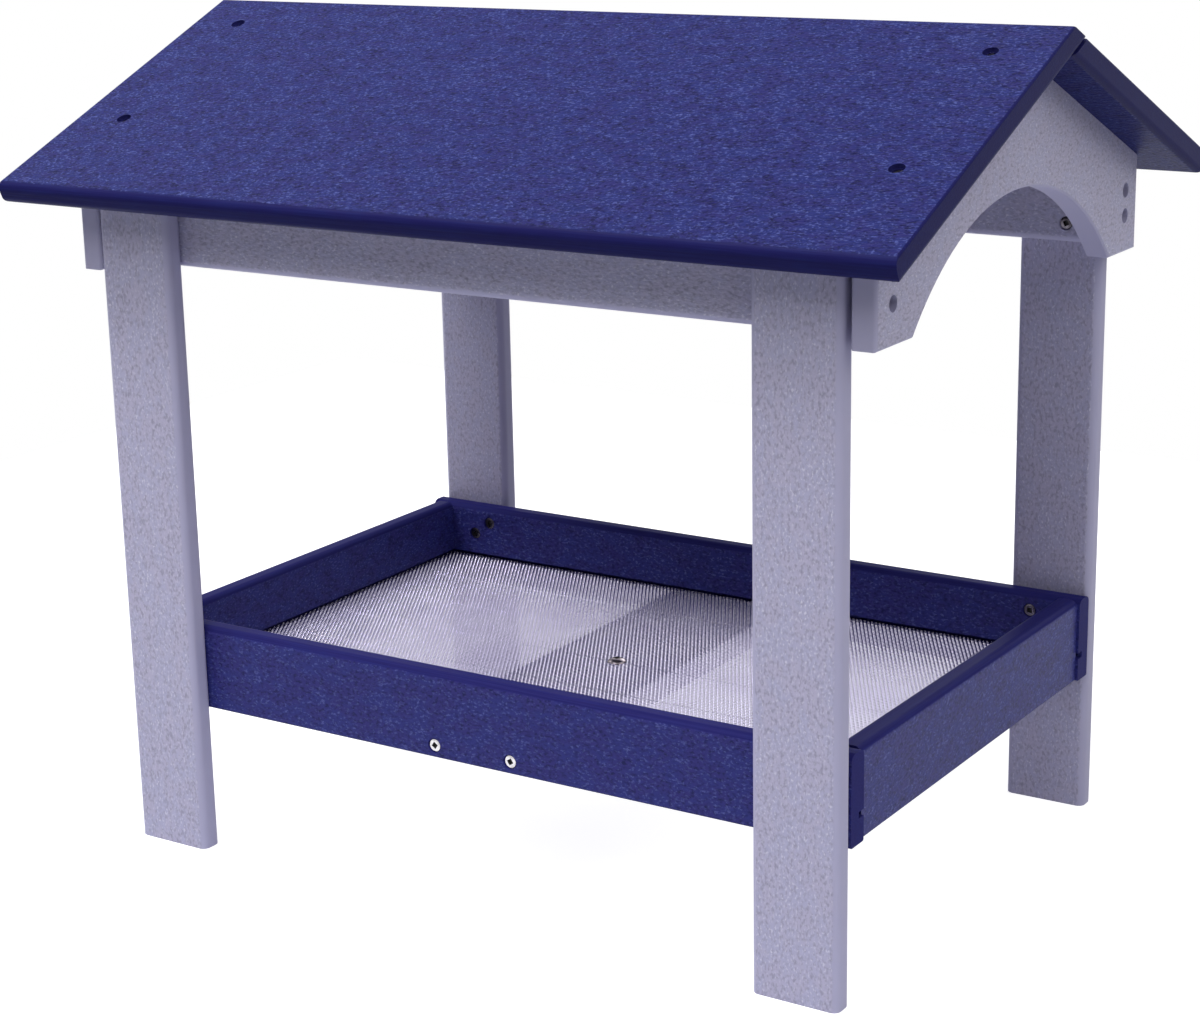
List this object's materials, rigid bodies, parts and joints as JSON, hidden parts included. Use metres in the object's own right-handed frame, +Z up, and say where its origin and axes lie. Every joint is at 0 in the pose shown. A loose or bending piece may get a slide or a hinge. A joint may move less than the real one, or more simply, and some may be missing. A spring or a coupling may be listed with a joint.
{
  "type": "fly-through bird feeder",
  "caption": "Open bird feeder of plastic boards: a gable roof on corner posts over a shallow tray with a perforated metal floor and arched gables.",
  "frame": {"origin": "on the ground under the middle of the feeder", "axes": "+X along the ridge, -Y towards the front as pictured, +Z up"},
  "size_m": [0.512, 0.3638, 0.4417],
  "materials": {
    "blue_board": "deep blue recycled board, faint lighter streaks and specks, satin",
    "grey_board": "light lilac-grey recycled board with a fine mottle, satin",
    "floor_metal": "mill-finish perforated sheet",
    "screw_steel": "bright stainless screws"
  },
  "bodies": {
    "root": {"roof_panel_front": "blue_board", "roof_panel_back": "blue_board", "gable_left": "grey_board", "gable_right": "grey_board", "rail_front": "grey_board", "rail_back": "grey_board", "post_front_left": "grey_board", "post_front_right": "grey_board", "post_back_left": "grey_board", "post_back_right": "grey_board", "tray_board_front": "blue_board", "tray_board_back": "blue_board", "tray_end_left": "blue_board", "tray_end_right": "blue_board", "floor_cross_bar": "blue_board", "floor_sheet": "floor_metal", "floor_screw": "screw_steel", "roof_screws_front": "screw_steel", "roof_screws_back": "screw_steel", "gable_screws_left": "screw_steel", "gable_screws_right": "screw_steel", "rail_post_screws_front": "screw_steel", "rail_post_screws_back": "screw_steel", "tray_post_screws_front": "screw_steel", "tray_post_screws_back": "screw_steel", "tray_corner_screws_front": "screw_steel", "tray_corner_screws_back": "screw_steel", "cross_bar_screws_front": "screw_steel", "cross_bar_screws_back": "screw_steel"}
  },
  "joints": []
}
